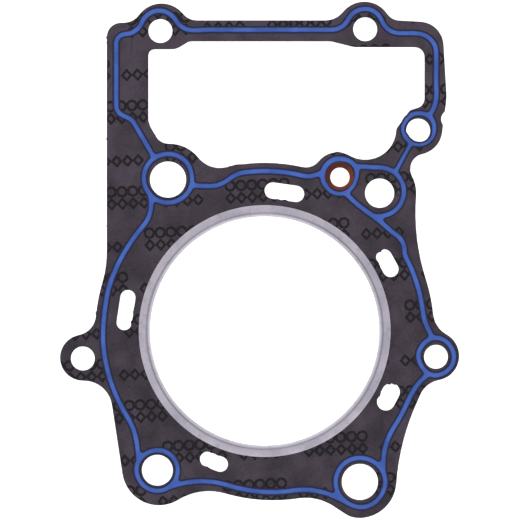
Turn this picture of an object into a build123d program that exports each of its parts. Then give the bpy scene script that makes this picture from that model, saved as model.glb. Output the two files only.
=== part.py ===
from build123d import *
import os
from dataclasses import dataclass
from math import asin, atan2, cos, degrees, radians, sin, sqrt

# Cylinder head gasket of a large single-cylinder engine, with a tunnel for the timing chain.
# The origin is on the cylinder's axis, halfway through the sheet. +Y points to the chain tunnel.

# Composite sheet: a round land about the cylinder and a frame about the chain tunnel
sheet_thickness = 1.2
land_width = 15.65            # from the steel ring's flange to the sheet's edge
tunnel_land_width = 15.25     # the same land where it borders the chain tunnel
frame_reach_top = 50.85       # how far the frame's edges lie past the land's edge
frame_reach_right = 3.85
frame_reach_left = -4.15
frame_wall_top = 7.5          # from the frame's edge to the tunnel
frame_wall_top_left = 10.35
frame_wall_top_right = 9.6
frame_wall_left = 14.95
frame_wall_right = 7.25

# Folded steel ring that grips the sheet's edge at the cylinder
fire_ring_bore_radius = 41.25
fire_ring_stock = 0.2
fire_ring_flange_width = 4.1  # from the bore to the flange's edge
fire_ring_lip_width = 1.2     # from the bore to the crease
fire_ring_crease_width = 0.3
fire_ring_crease_depth = 0.09
fire_ring_lip_fall = 0.03     # the rolled lip starts this far under the flange
fire_ring_wall_height = 0.6   # straight wall between the two rolled lips
fire_ring_lip_bulge = 0.16    # how far the lip's shoulder stands out from its chord

# Seal ring moulded into the oil hole
oil_hole_radius = 3.45
oil_seal_width = 1.65
oil_seal_chamfer = 0.35        # round the hole, on both faces

# Holes: four cylinder studs, two of them wide enough for locating dowels, and five outer bolts
dowel_hole_radius = 6.55
upper_stud_hole_radius = 5.3
lower_stud_hole_radius = 5.6
bolt_hole_radius = 4.35

# Places of the holes about the cylinder: bearing in degrees, and distance past the land's edge
dowel_upper_left_place = (122.54, 3.71)
stud_upper_right_place = (50.18, 3.65)
stud_lower_left_place = (232.38, 2.32)
dowel_lower_right_place = (-57.74, 3.27)
lug_left_place = (188.59, 5.24)
lug_right_place = (-8.57, 1.4)
oil_hole_place = (63.93, 0.67)

# Places of the holes in the tunnel's frame: how far in from its side edge and from its top edge
bolt_top_left_inset = (19.3, 3.8)
bolt_top_right_inset = (28.65, 3.15)
bolt_right_inset = (9.55, 39.65)

# Coolant slots on a circle about the cylinder: bearing, length between end centres, width
slot_circle_gap = 5.15        # from the flange's edge to the slots' middle
slot_top = (81.9, 8.5, 5.9)
slot_left = (171.4, 9.15, 5.5)
slot_right_upper = (28.95, 4.9, 5.8)
slot_right_lower = (-28.0, 3.9, 6.5)
slot_bottom_left = (248.8, 4.9, 5.6)

# Sheet left round each hole, measured from the hole's wall to the outline
wall_dowel_lower_right = 6.9
wall_stud_upper_right = 7.9
wall_stud_lower_left = 7.7
wall_bolt_right = 4.8
wall_bolt_top_right = 5.55
wall_bolt_top_left = 5.65
wall_lug_left = 3.95
wall_lug_right = 4.5
wall_dowel_upper_left = 6.85
wall_oil_hole = 3.5

# Where an outline's round is off its hole's centre
shift_dowel_lower_right = Vector(-0.3, 0.45)
shift_stud_lower_left = Vector(0.6, 0.7)
shift_bolt_right = Vector(-0.45, 0.45)
shift_bolt_top_left = Vector(0.4, -0.1)
shift_bolt_top_right = Vector(-0.3, 0.0)
shift_lug_left = Vector(0.1, 0.3)
shift_lug_right = Vector(-0.5, 0.35)
shift_dowel_upper_left = Vector(0.5, -0.5)
shift_oil_hole = Vector(-0.9, 0.4)
shift_land_bottom = Vector(2.95, 0.05)
shift_land_lower_right = Vector(-0.4, 0.2)

# Radii of the outer edge's hollows and corners
waist_lower_right_radius = 86.0
waist_upper_right_radius = 78.0
waist_upper_left_radius = 40.0
waist_bottom_left_radius = 21.0
waist_bottom_right_radius = 18.0
boss_bottom_right_radius = 9.0
lug_right_lower_fillet = 9.0
lug_right_upper_fillet = 9.4
lug_left_upper_fillet = 7.6
lug_left_lower_fillet = 10.2
bolt_right_notch_radius = 5.4
bolt_right_shoulder_radius = 20.0
frame_corner_right_radius = 8.8
frame_corner_left_radius = 5.1
bolt_top_right_outer_fillet = 5.4
bolt_top_right_inner_fillet = 8.1
bolt_top_left_inner_fillet = 6.4
bolt_top_left_outer_fillet = 6.8

# Straight stretches of the outer edge: a point's distance from the frame's edges, and the angle
bolt_right_edge_angle = 82.5
flank_left_angle = 278.7
flank_bottom_right = (-9.85, -8.5, -33.4)    # this point is seen from the lower right hole
frame_right_line = (0, 15.95, 93.4)
frame_top_right_line = (14.55, 0.15, 177)
frame_top_left_line = (5.35, 0.85, 180)

# Radii of the tunnel's corners and hollows
tunnel_oil_hollow_radius = 6.0
tunnel_right_hollow_radius = 11.2
tunnel_bolt_corner_radius = 1.0
tunnel_bolt_shoulder_radius = 1.2
tunnel_right_low_radius = 3.6
tunnel_right_high_radius = 3.5
tunnel_top_hollow_radius = 3.0
tunnel_top_shoulder_radius = 3.0
tunnel_top_rise_radius = 2.0
tunnel_top_left_hollow_radius = 6.0
tunnel_top_left_radius = 2.2
tunnel_left_low_radius = 7.0
tunnel_dowel_left_hollow_radius = 5.0
tunnel_dowel_right_hollow_radius = 9.8

# Straight stretches of the tunnel's edge: a point seen from the hole beside it, and the angle
tunnel_dowel_slant = (-5.0, 16.75, 301)
tunnel_bolt_right_lower = (-7.85, 0.8, 86)
tunnel_bolt_right_slant = (-5.5, 3.9, 53.6)
tunnel_bolt_right_upper = (-1.3, 7.85, 16)
tunnel_top_right_slant = (-7.7, -5.5, 166)
tunnel_top_left_slant = (8.15, -5.05, 212)

# A chip is missing from the right edge: how far out of the frame's edge it lies, and how far below its top
chip_inset = (-1.8, 35.55)
chip_radius = 3.15

# Printed sealing bead
bead_width = 2.1
bead_link_width = 1.75
bead_height = 0.2
bead_corner_fillet = 0.5
bead_drift = 0.5              # the print sits this far above the holes at the tunnel's end
shift_ring_oil = Vector(-0.2, 0.6)

# How far the bead's middle runs inside the sheet's edge
bead_inset_right = 3.6
bead_inset_left = 2.7
bead_inset_tunnel = 3.0
bead_inset_bottom = 3.3
bead_inset_frame = 3.4

# Gap between a hole and the bead's ring round it
bead_gap_dowel = 1.15
bead_gap_lug = 1.05
bead_gap_stud_lower_left = 0.7
bead_gap_stud_upper_right = 2.4
bead_gap_bolt_right = 0.2
bead_gap_bolt_top_left = 1.75
bead_gap_bolt_top_right = 1.4

# Radii of the bead's bends
bead_jog_lower_radius = 5.1
bead_jog_upper_radius = 3.8
bead_frame_corner_left_radius = 3.3
bead_frame_corner_right_radius = 6.9
bead_top_left_outer_radius = 6.5
bead_top_left_inner_radius = 7.5
bead_top_right_inner_radius = 6.65
bead_top_right_outer_radius = 8.3
bead_bolt_right_radius = 12.5
bead_lug_upper_radius = 20.0
bead_lug_lower_radius = 11.0
bead_right_step_radius = 3.0
bead_right_turn_radius = 6.75
bead_diagonal_radius = 5.0
bead_dowel_lower_right_radius = 24.0
bead_bottom_left_radius = 34.0
bead_bottom_right_radius = 26.0
bead_dowel_upper_left_radius = 11.2
bead_stud_lower_left_radius = 29.4
bead_tunnel_left_lower_radius = 10.5
bead_tunnel_left_upper_radius = 10.0
bead_tunnel_right_radius = 8.0

# Where the bead's runs meet the rings: bearing on the ring, and the angle that the run has there
bead_meets_tunnel_start = (124, 120.3)
bead_meets_tunnel_end = (52, -125)
bead_meets_lug_upper = (104, 117)
bead_meets_lug_lower = (240, 38)
bead_meets_oil_diagonal = (-67, 138.5)
bead_meets_oil_top = (168, 24)
bead_meets_dowel_lower_right = (25, 90)
bead_meets_dowel_bottom = (235, -25)
bead_meets_stud_bottom = (-78, 23)
bead_meets_stud_left = (150, -85)
bead_meets_dowel_left = (222, 275)
bead_meets_dowel_top = (-15, 0)
bead_link_bearings = (242, 51)
bead_loop_end_angle = 163

# Straight stretches of the bead: a point seen from the hole beside it, and the angle
bead_jog_line = (-15.2, 22.6, 156)
bead_top_left_line = (-11.95, -1.15, 2)
bead_top_right_line = (13.3, -1.3, -3)
bead_right_line = (6.25, 20.3, -87.5)
bead_step_line = (8.95, -21.15, 90)
bead_turn_line = (4.7, -14.3, 151)
bead_tunnel_left_line = (21.8, 0.2, 31)

touch_tolerance = 1e-6
corner_angle = 10             # edges that meet at more than this angle make a corner


@dataclass
class Straight:
    """A straight stretch of an outline: a point on it, and the way it runs."""

    point: Vector
    way: Vector


@dataclass
class Bend:
    """A round stretch: it turns left if its radius is positive and right if it is negative.

    A bend without a centre is fitted against the stretches before and after it.
    """

    radius: float
    centre: Vector | None = None


def bearing(angle):
    """Unit vector at an angle in degrees, anticlockwise from +X."""
    return Vector(cos(radians(angle)), sin(radians(angle)))


def left_of(way):
    """Unit vector a quarter turn to the left."""
    return Vector(-way.Y, way.X)


def straight(x, y, angle):
    """Straight stretch through a point, running at an angle in degrees."""
    return Straight(Vector(x, y), bearing(angle))


def beside(stretch, radius):
    """Where the centre of a bend can lie, if the bend is to touch this stretch."""
    if isinstance(stretch, Straight):
        return Straight(stretch.point + left_of(stretch.way) * radius, stretch.way)
    return Bend(abs(stretch.radius - radius), stretch.centre)


def crossings(first, second):
    """Points where two lines, a line and a circle, or two circles cross."""
    if isinstance(first, Bend) and isinstance(second, Straight):
        first, second = second, first
    if isinstance(first, Straight) and isinstance(second, Straight):
        across = left_of(second.way)
        reach = (second.point - first.point).dot(across) / first.way.dot(across)
        return [first.point + first.way * reach]
    if isinstance(first, Straight):
        way = first.way
        foot = first.point + way * (second.centre - first.point).dot(way)
        half = sqrt(second.radius**2 - (second.centre - foot).length ** 2)
        return [foot - way * half, foot + way * half]
    span = second.centre - first.centre
    reach = (span.length**2 + first.radius**2 - second.radius**2) / (2 * span.length)
    half = sqrt(first.radius**2 - reach**2)
    foot = first.centre + span.normalized() * reach
    across = left_of(span.normalized())
    return [foot - across * half, foot + across * half]


def contact(before, after):
    """Point where one stretch is left and point where the next is joined.

    Two bends that don't touch are joined by the straight line that touches both.
    """
    if isinstance(before, Straight) and isinstance(after, Straight):
        corner = crossings(before, after)[0]
        return corner, corner
    if isinstance(before, Straight):
        foot = before.point + before.way * (after.centre - before.point).dot(before.way)
        return foot, foot
    if isinstance(after, Straight):
        foot = after.point + after.way * (before.centre - after.point).dot(after.way)
        return foot, foot
    span = after.centre - before.centre
    lean = (after.radius - before.radius) / span.length
    if abs(abs(lean) - 1) < touch_tolerance:
        lean = round(lean)
    way = bearing(degrees(atan2(span.Y, span.X) - asin(lean)))
    return before.centre - left_of(way) * before.radius, after.centre - left_of(way) * after.radius


def sweep(bend, start, end):
    """Angle in degrees that a bend turns through, from start to end."""
    spoke = start - bend.centre
    far_spoke = end - bend.centre
    turn = degrees(atan2(far_spoke.Y, far_spoke.X) - atan2(spoke.Y, spoke.X))
    return turn % 360 if bend.radius > 0 else -turn % 360


def fitted(stretches):
    """The same stretches, with every bend placed."""
    placed = list(stretches)
    for index, stretch in enumerate(stretches):
        if isinstance(stretch, Bend) and stretch.centre is None:
            before = placed[index - 1]
            after = stretches[(index + 1) % len(stretches)]
            centres = crossings(beside(before, stretch.radius), beside(after, stretch.radius))
            bends = [Bend(stretch.radius, centre) for centre in centres]
            turns = [sweep(bend, contact(before, bend)[1], contact(bend, after)[0]) for bend in bends]
            placed[index] = bends[turns.index(min(turns))]
    return placed


def moved_right(stretches, distance):
    """The same placed stretches, moved sideways to the right of the way they run."""
    moved = []
    for stretch in stretches:
        if isinstance(stretch, Bend):
            moved.append(Bend(stretch.radius + distance, stretch.centre))
        else:
            moved.append(Straight(stretch.point - left_of(stretch.way) * distance, stretch.way))
    return moved


def draw_stretch(stretch, start, end):
    """Draw one stretch between two points, unless it has no length."""
    if (end - start).length < touch_tolerance:
        return
    if isinstance(stretch, Straight):
        Line(start, end)
        return
    turn = sweep(stretch, start, end) / 2
    if stretch.radius < 0:
        turn = -turn
    middle = stretch.centre + (start - stretch.centre).rotate(Axis.Z, turn)
    ThreePointArc(start, middle, end)


def draw_loop(stretches):
    """Draw a closed outline of placed stretches."""
    following = stretches[1:] + stretches[:1]
    contacts = [contact(before, after) for before, after in zip(stretches, following)]
    for index, stretch in enumerate(stretches):
        left, joined = contacts[index]
        draw_stretch(stretch, contacts[index - 1][1], left)
        if (joined - left).length > touch_tolerance:
            Line(left, joined)


def draw_path(stretches):
    """Draw an open line of placed stretches, from the first one's point to the last one's."""
    start = stretches[0].point
    for stretch, after in zip(stretches, stretches[1:]):
        left, joined = contact(stretch, after)
        draw_stretch(stretch, start, left)
        if (joined - left).length > touch_tolerance:
            Line(left, joined)
        start = joined
    draw_stretch(stretches[-1], start, stretches[-1].point)


def strip(stretches, width):
    """Add a strip of even width along an open line of stretches."""
    line = fitted(stretches)
    right = moved_right(line, width / 2)
    left = moved_right(line, -width / 2)
    with BuildLine() as border:
        draw_path(right)
        draw_path(left)
        Line(right[0].point, left[0].point)
        Line(right[-1].point, left[-1].point)
    make_face(border.edges())


def about(hole, hole_radius, wall, shift=Vector(0, 0)):
    """Round of the outline about a hole."""
    return Bend(hole_radius + wall, hole + shift)


def touching(bend, angle):
    """Straight stretch that touches a placed bend and runs at an angle in degrees."""
    way = bearing(angle)
    return Straight(bend.centre - left_of(way) * bend.radius, way)


def along_cylinder(radius):
    """Stretch that runs round the cylinder's axis, anticlockwise if its radius is positive."""
    return Bend(radius, Vector(0, 0))


def from_hole(hole, line):
    """Straight stretch through a point given from a hole's centre, with its angle."""
    x, y, angle = line
    return Straight(hole + Vector(x, y), bearing(angle))


def past_land(place):
    """Point about the cylinder, at a bearing and a distance past the land's edge."""
    angle, distance = place
    return bearing(angle) * (land_radius + distance)


# Heights, with the sheet's middle at zero
sheet_top = sheet_thickness / 2
crest_top = sheet_top + bead_height
flange_top = sheet_top + fire_ring_stock

# Radii about the cylinder
crease_inner_radius = fire_ring_bore_radius + fire_ring_lip_width
crease_radius = crease_inner_radius + fire_ring_crease_width / 2
sheet_bore_radius = crease_inner_radius + fire_ring_crease_width
flange_radius = fire_ring_bore_radius + fire_ring_flange_width
slot_circle_radius = flange_radius + slot_circle_gap
land_radius = flange_radius + land_width
tunnel_land_radius = flange_radius + tunnel_land_width
oil_seal_radius = oil_hole_radius + oil_seal_width

# Edges of the tunnel's frame, and of the tunnel
frame_top = land_radius + frame_reach_top
frame_right = land_radius + frame_reach_right
frame_left = -land_radius - frame_reach_left
tunnel_right = frame_right - frame_wall_right
tunnel_left = frame_left + frame_wall_left


def from_top_left(inset):
    """Point given by how far it lies in from the frame's left edge and from its top edge."""
    return Vector(frame_left + inset[0], frame_top - inset[1])


def from_top_right(inset):
    """Point given by how far it lies in from the frame's right edge and from its top edge."""
    return Vector(frame_right - inset[0], frame_top - inset[1])


# Holes
dowel_upper_left = past_land(dowel_upper_left_place)
stud_upper_right = past_land(stud_upper_right_place)
stud_lower_left = past_land(stud_lower_left_place)
dowel_lower_right = past_land(dowel_lower_right_place)
lug_left = past_land(lug_left_place)
lug_right = past_land(lug_right_place)
oil_hole = past_land(oil_hole_place)
bolt_top_left = from_top_left(bolt_top_left_inset)
bolt_top_right = from_top_right(bolt_top_right_inset)
bolt_right = from_top_right(bolt_right_inset)
holes = [
    (dowel_upper_left, dowel_hole_radius),
    (stud_upper_right, upper_stud_hole_radius),
    (stud_lower_left, lower_stud_hole_radius),
    (dowel_lower_right, dowel_hole_radius),
    (bolt_top_left, bolt_hole_radius),
    (bolt_top_right, bolt_hole_radius),
    (bolt_right, bolt_hole_radius),
    (lug_left, bolt_hole_radius),
    (lug_right, bolt_hole_radius),
    (oil_hole, oil_seal_radius),
]
slots = [slot_top, slot_left, slot_right_upper, slot_right_lower, slot_bottom_left]

boss_right = about(bolt_right, bolt_hole_radius, wall_bolt_right, shift_bolt_right)
boss_lower_left = about(stud_lower_left, lower_stud_hole_radius, wall_stud_lower_left, shift_stud_lower_left)

# Outer edge, anticlockwise from the lower right dowel
outer_edge = [
    about(dowel_lower_right, dowel_hole_radius, wall_dowel_lower_right, shift_dowel_lower_right),
    Bend(-waist_lower_right_radius),
    Bend(land_radius, shift_land_lower_right),
    Bend(-lug_right_lower_fillet),
    about(lug_right, bolt_hole_radius, wall_lug_right, shift_lug_right),
    Bend(-lug_right_upper_fillet),
    along_cylinder(land_radius),
    Bend(-waist_upper_right_radius),
    about(stud_upper_right, upper_stud_hole_radius, wall_stud_upper_right),
    Bend(-bolt_right_notch_radius),
    boss_right,
    touching(boss_right, bolt_right_edge_angle),
    Bend(bolt_right_shoulder_radius),
    Straight(from_top_right(frame_right_line), bearing(frame_right_line[2])),
    Bend(frame_corner_right_radius),
    Straight(from_top_right(frame_top_right_line), bearing(frame_top_right_line[2])),
    Bend(-bolt_top_right_outer_fillet),
    about(bolt_top_right, bolt_hole_radius, wall_bolt_top_right, shift_bolt_top_right),
    Bend(-bolt_top_right_inner_fillet),
    straight(0, frame_top, 180),
    Bend(-bolt_top_left_inner_fillet),
    about(bolt_top_left, bolt_hole_radius, wall_bolt_top_left, shift_bolt_top_left),
    Bend(-bolt_top_left_outer_fillet),
    Straight(from_top_left(frame_top_left_line), bearing(frame_top_left_line[2])),
    Bend(frame_corner_left_radius),
    straight(frame_left, frame_top, 270),
    Bend(-waist_upper_left_radius),
    along_cylinder(land_radius),
    Bend(-lug_left_upper_fillet),
    about(lug_left, bolt_hole_radius, wall_lug_left, shift_lug_left),
    Bend(-lug_left_lower_fillet),
    touching(boss_lower_left, flank_left_angle),
    boss_lower_left,
    Bend(-waist_bottom_left_radius),
    Bend(land_radius, shift_land_bottom),
    Bend(-waist_bottom_right_radius),
    from_hole(dowel_lower_right, flank_bottom_right),
    Bend(boss_bottom_right_radius),
]

# Edge of the chain tunnel, anticlockwise from the land between the dowel and the oil hole
tunnel_edge = [
    along_cylinder(-tunnel_land_radius),
    Bend(tunnel_oil_hollow_radius),
    about(oil_hole, -oil_seal_radius, -wall_oil_hole, shift_oil_hole),
    Bend(tunnel_right_hollow_radius),
    from_hole(bolt_right, tunnel_bolt_right_lower),
    Bend(-tunnel_bolt_corner_radius),
    from_hole(bolt_right, tunnel_bolt_right_slant),
    Bend(-tunnel_bolt_shoulder_radius),
    from_hole(bolt_right, tunnel_bolt_right_upper),
    Bend(tunnel_right_low_radius),
    straight(tunnel_right, frame_top, 90),
    Bend(tunnel_right_high_radius),
    straight(0, frame_top - frame_wall_top_right, 180),
    Bend(-tunnel_top_hollow_radius),
    from_hole(bolt_top_right, tunnel_top_right_slant),
    Bend(tunnel_top_shoulder_radius),
    straight(0, frame_top - frame_wall_top, 180),
    Bend(tunnel_top_rise_radius),
    from_hole(bolt_top_left, tunnel_top_left_slant),
    Bend(-tunnel_top_left_hollow_radius),
    straight(0, frame_top - frame_wall_top_left, 180),
    Bend(tunnel_top_left_radius),
    straight(tunnel_left, frame_top, 270),
    Bend(tunnel_left_low_radius),
    from_hole(dowel_upper_left, tunnel_dowel_slant),
    Bend(tunnel_dowel_left_hollow_radius),
    about(dowel_upper_left, -dowel_hole_radius, -wall_dowel_upper_left, shift_dowel_upper_left),
    Bend(tunnel_dowel_right_hollow_radius),
]


def draw_openings(mode):
    """Draw the cylinder's opening, the holes, the coolant slots and the chip."""
    Circle(sheet_bore_radius, mode=mode)
    for place, radius in holes:
        with Locations(place):
            Circle(radius, mode=mode)
    for slot_bearing, slot_length, slot_width in slots:
        with Locations(bearing(slot_bearing) * slot_circle_radius):
            SlotCenterToCenter(slot_length, slot_width, rotation=slot_bearing + 90, mode=mode)
    with Locations(from_top_right(chip_inset)):
        Circle(chip_radius, mode=mode)


with BuildPart() as gasket_sheet:
    with BuildSketch(Plane.XY.offset(-sheet_top)):
        with BuildLine():
            draw_loop(fitted(outer_edge))
        make_face()
        with BuildLine():
            draw_loop(fitted(tunnel_edge))
        make_face(mode=Mode.SUBTRACT)
        draw_openings(Mode.SUBTRACT)
    extrude(amount=sheet_thickness)
gasket_sheet.part.label = "gasket_sheet"

# Upper half of the ring's section: outside, then inside
lip_start = Vector(crease_inner_radius, flange_top - fire_ring_lip_fall)
lip_end = Vector(fire_ring_bore_radius, fire_ring_wall_height / 2)
lip_out = left_of((lip_end - lip_start).normalized()) * -fire_ring_lip_bulge
lip_shoulder = (lip_start + lip_end) / 2 + lip_out
inner_wall_radius = fire_ring_bore_radius + fire_ring_stock

with BuildPart() as fire_ring:
    with BuildSketch(Plane.XZ):
        with BuildLine():
            Polyline(
                (flange_radius, sheet_top),
                (flange_radius, flange_top),
                (sheet_bore_radius, flange_top),
                (crease_radius, flange_top - fire_ring_crease_depth),
                lip_start,
                lip_shoulder,
                lip_end,
                (fire_ring_bore_radius, 0),
                (inner_wall_radius, 0),
                (inner_wall_radius, lip_end.Y),
                (sheet_bore_radius, sheet_top),
                (flange_radius, sheet_top),
            )
        make_face()
        mirror(about=Plane.XZ)
    revolve(axis=Axis.Z)
fire_ring.part.label = "fire_ring"

with BuildPart() as oil_passage_seal:
    with BuildSketch(Plane.XY.offset(-crest_top)):
        with Locations(oil_hole):
            Circle(oil_seal_radius)
            Circle(oil_hole_radius, mode=Mode.SUBTRACT)
    extrude(amount=2 * crest_top)
    inner_rims = oil_passage_seal.edges().filter_by(GeomType.CIRCLE).group_by(SortBy.RADIUS)[0]
    chamfer(inner_rims, length=oil_seal_chamfer)
oil_passage_seal.part.label = "oil_passage_seal"


def ring(hole, hole_radius, gap, drift=Vector(0, 0)):
    """Middle line of the bead's ring about a hole, with a gap between the hole and the bead."""
    return Bend(hole_radius + gap + bead_width / 2, hole + drift)


def clockwise(bend):
    """The same placed bend, run the other way."""
    return Bend(-bend.radius, bend.centre)


def on_ring(middle_line, angle):
    """Point of a ring's middle line at a bearing from the ring's centre."""
    return middle_line.centre + bearing(angle) * middle_line.radius


def at_ring(middle_line, meeting):
    """Stretch that starts or ends on a ring's middle line, with its bearing there and its angle."""
    ring_bearing, angle = meeting
    return Straight(on_ring(middle_line, ring_bearing), bearing(angle))


drift = Vector(0, bead_drift)
ring_upper_left = ring(dowel_upper_left, dowel_hole_radius, bead_gap_dowel, drift)
ring_right = ring(bolt_right, bolt_hole_radius, bead_gap_bolt_right, drift)
ring_lug = ring(lug_right, bolt_hole_radius, bead_gap_lug)
ring_lower_right = ring(dowel_lower_right, dowel_hole_radius, bead_gap_dowel)
ring_lower_left = ring(stud_lower_left, lower_stud_hole_radius, bead_gap_stud_lower_left)
ring_oil = ring(oil_hole, oil_seal_radius, 0, shift_ring_oil)
loop_upper_right = ring(stud_upper_right, upper_stud_hole_radius, bead_gap_stud_upper_right, drift)
hump_top_left = ring(bolt_top_left, bolt_hole_radius, bead_gap_bolt_top_left, drift)
hump_top_right = ring(bolt_top_right, bolt_hole_radius, bead_gap_bolt_top_right, drift)
loop_start = touching(clockwise(loop_upper_right), 0)
loop_start.point = crossings(ring_oil, loop_start)[1]

# Middle lines of the bead's runs between the rings
bead_round_tunnel = [
    at_ring(ring_upper_left, bead_meets_tunnel_start),
    Bend(bead_jog_lower_radius),
    from_hole(dowel_upper_left, bead_jog_line),
    Bend(-bead_jog_upper_radius),
    straight(frame_left + bead_inset_frame, frame_top, 90),
    Bend(-bead_frame_corner_left_radius),
    from_hole(bolt_top_left, bead_top_left_line),
    Bend(bead_top_left_outer_radius),
    clockwise(hump_top_left),
    Bend(bead_top_left_inner_radius),
    straight(0, frame_top - bead_inset_frame, 0),
    Bend(bead_top_right_inner_radius),
    clockwise(hump_top_right),
    Bend(bead_top_right_outer_radius),
    from_hole(bolt_top_right, bead_top_right_line),
    Bend(-bead_frame_corner_right_radius),
    from_hole(bolt_right, bead_right_line),
    Bend(-bead_bolt_right_radius),
    at_ring(ring_right, bead_meets_tunnel_end),
]
bead_upper_right_loop = [
    loop_start,
    clockwise(loop_upper_right),
    touching(clockwise(loop_upper_right), bead_loop_end_angle),
]
bead_lug_to_oil = [
    at_ring(ring_lug, bead_meets_lug_upper),
    Bend(-bead_lug_upper_radius),
    along_cylinder(land_radius - bead_inset_right),
    Bend(-bead_right_step_radius),
    from_hole(stud_upper_right, bead_step_line),
    Bend(bead_right_turn_radius),
    from_hole(stud_upper_right, bead_turn_line),
    Bend(-bead_diagonal_radius),
    at_ring(ring_oil, bead_meets_oil_diagonal),
]
bead_lower_right = [
    at_ring(ring_lower_right, bead_meets_dowel_lower_right),
    Bend(-bead_dowel_lower_right_radius),
    along_cylinder(land_radius - bead_inset_right),
    Bend(-bead_lug_lower_radius),
    at_ring(ring_lug, bead_meets_lug_lower),
]
bead_bottom = [
    at_ring(ring_lower_left, bead_meets_stud_bottom),
    Bend(-bead_bottom_left_radius),
    Bend(land_radius - bead_inset_bottom, shift_land_bottom),
    Bend(-bead_bottom_right_radius),
    at_ring(ring_lower_right, bead_meets_dowel_bottom),
]
bead_left = [
    at_ring(ring_upper_left, bead_meets_dowel_left),
    Bend(-bead_dowel_upper_left_radius),
    along_cylinder(land_radius - bead_inset_left),
    Bend(-bead_stud_lower_left_radius),
    at_ring(ring_lower_left, bead_meets_stud_left),
]
bead_top = [
    at_ring(ring_upper_left, bead_meets_dowel_top),
    Bend(bead_tunnel_left_lower_radius),
    from_hole(dowel_upper_left, bead_tunnel_left_line),
    Bend(-bead_tunnel_left_upper_radius),
    along_cylinder(bead_inset_tunnel - tunnel_land_radius),
    Bend(bead_tunnel_right_radius),
    at_ring(ring_oil, bead_meets_oil_top),
]
bead_runs = [
    bead_round_tunnel,
    bead_upper_right_loop,
    bead_lug_to_oil,
    bead_lower_right,
    bead_bottom,
    bead_left,
    bead_top,
]
bead_rings = [ring_upper_left, ring_right, ring_lug, ring_lower_right, ring_lower_left]
link_start = on_ring(ring_right, bead_link_bearings[0])
link_end = on_ring(loop_upper_right, bead_link_bearings[1])
link_span = link_end - link_start


def is_corner(vertex, edges):
    """Whether the edges that meet at a vertex make a corner there."""
    corner = Vector(vertex)
    meeting = [edge for edge in edges if vertex in edge.vertices()]
    if len(meeting) < 2:
        return False
    ways = [edge % (0 if (edge @ 0 - corner).length < touch_tolerance else 1) for edge in meeting]
    return corner_angle < ways[0].get_angle(ways[1]) < 180 - corner_angle


def draw_bead():
    """Draw the bead's plan: its runs, the link between two rings, and the rings.

    The ring at the oil hole is drawn full here. It ends at the seal, where the openings are cut.
    """
    for run in bead_runs:
        strip(run, bead_width)
    with Locations((link_start + link_end) / 2):
        angle = degrees(atan2(link_span.Y, link_span.X))
        Rectangle(link_span.length, bead_link_width, rotation=angle)
    for middle_line in [*bead_rings, ring_oil]:
        with Locations(middle_line.centre):
            Circle(middle_line.radius + bead_width / 2)
    for middle_line in bead_rings:
        with Locations(middle_line.centre):
            Circle(middle_line.radius - bead_width / 2, mode=Mode.SUBTRACT)


def corner_edges(bead):
    """Upright edges at the corners where the bead's stretches meet."""
    crest = bead.faces().sort_by(Axis.Z)[-1]
    corners = [vertex for vertex in crest.vertices() if is_corner(vertex, crest.edges())]
    uprights = bead.edges().filter_by(Axis.Z)
    return [edge for edge in uprights if any(vertex in corners for vertex in edge.vertices())]


with BuildPart() as upper_sealing_bead:
    with BuildSketch(Plane.XY.offset(sheet_top)):
        draw_bead()
    extrude(amount=bead_height)
    fillet(corner_edges(upper_sealing_bead), radius=bead_corner_fillet)
    with BuildSketch(Plane.XY.offset(sheet_top)):
        draw_openings(Mode.ADD)
    extrude(amount=bead_height, mode=Mode.SUBTRACT)
upper_sealing_bead.part.label = "upper_sealing_bead"

os.makedirs("parts", exist_ok=True)
export_step(gasket_sheet.part, "parts/gasket_sheet.step")
export_step(fire_ring.part, "parts/fire_ring.step")
export_step(oil_passage_seal.part, "parts/oil_passage_seal.step")
export_step(upper_sealing_bead.part, "parts/upper_sealing_bead.step")
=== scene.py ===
from math import cos, hypot, radians, sin, tau

import bmesh
import bpy
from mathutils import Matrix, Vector, kdtree, noise


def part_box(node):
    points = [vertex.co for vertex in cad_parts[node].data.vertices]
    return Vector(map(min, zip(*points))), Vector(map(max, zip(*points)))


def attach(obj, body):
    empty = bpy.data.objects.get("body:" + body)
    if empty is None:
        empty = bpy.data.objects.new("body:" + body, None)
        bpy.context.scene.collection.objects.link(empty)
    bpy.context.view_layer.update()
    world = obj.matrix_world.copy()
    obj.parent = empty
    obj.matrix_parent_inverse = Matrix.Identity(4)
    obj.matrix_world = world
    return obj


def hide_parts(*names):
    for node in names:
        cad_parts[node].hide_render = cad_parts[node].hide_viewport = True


bl_info = {
    "name": "Cylinder head gasket",
    "version": (1, 0, 0),
    "blender": (4, 5, 0),
    "location": "3D View > Sidebar > Gasket",
    "description": "Makes the pieces of a cylinder head gasket on its packed frame",
    "category": "Add Mesh",
}

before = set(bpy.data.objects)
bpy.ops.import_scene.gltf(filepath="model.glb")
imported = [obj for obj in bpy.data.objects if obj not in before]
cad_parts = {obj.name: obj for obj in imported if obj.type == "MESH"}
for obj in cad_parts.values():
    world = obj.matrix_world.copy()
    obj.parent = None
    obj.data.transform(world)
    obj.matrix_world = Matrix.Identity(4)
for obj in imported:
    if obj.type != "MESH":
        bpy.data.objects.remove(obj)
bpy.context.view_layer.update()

MM = 0.001
FLAT = 0.01 * MM              # vertices this near a height lie on it
MERGE = 1e-7                  # vertices this near each other, in metres, are one
FEWEST_POINTS = 12            # on the shortest outline
SMOOTHING = 3                 # passes that round off an outline's facets
EDGE_ARCS = 2                 # rows of faces round a sheet's edge
RING_STEPS = 360              # flats round the steel ring
SEAL_STEPS = 160              # flats round the oil seal

sheet_low, sheet_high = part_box("gasket_sheet")
ring_low, ring_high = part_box("fire_ring")
seal_low, seal_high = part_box("oil_passage_seal")
bead_low, bead_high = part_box("upper_sealing_bead")

seal_middle = (seal_low + seal_high).to_2d() / 2
seat_reach = 1.1 * (seal_high.x - seal_middle.x)     # outlines this near the seal are its seat's


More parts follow.
